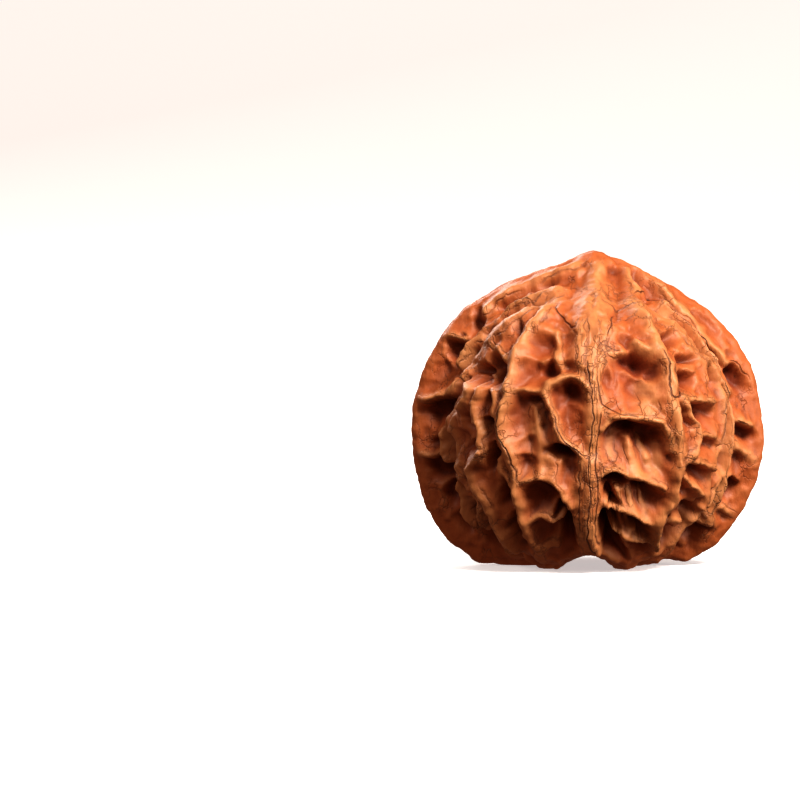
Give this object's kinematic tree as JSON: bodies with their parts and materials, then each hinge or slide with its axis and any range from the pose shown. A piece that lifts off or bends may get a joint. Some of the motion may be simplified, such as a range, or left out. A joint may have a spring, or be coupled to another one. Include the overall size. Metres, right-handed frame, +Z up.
{
  "type": "wenwan walnut",
  "caption": "Whole hand-rolled walnut standing on its base: round ribbed belly on each side of a broad seam blade, deep hollows between the ribs, blunt tip.",
  "frame": {"origin": "on the ground plane, under the middle of the nut's bounding box", "axes": "+Z up through the tip, X along the seam blade, the front belly faces -Y"},
  "size_m": [0.0451, 0.0416, 0.0403],
  "materials": {
    "polished_shell": "hand-polished reddish brown walnut shell, satin to semi-gloss on the ribs, darker in the hollows"
  },
  "bodies": {
    "root": {"walnut_shell": "polished_shell"}
  },
  "joints": []
}
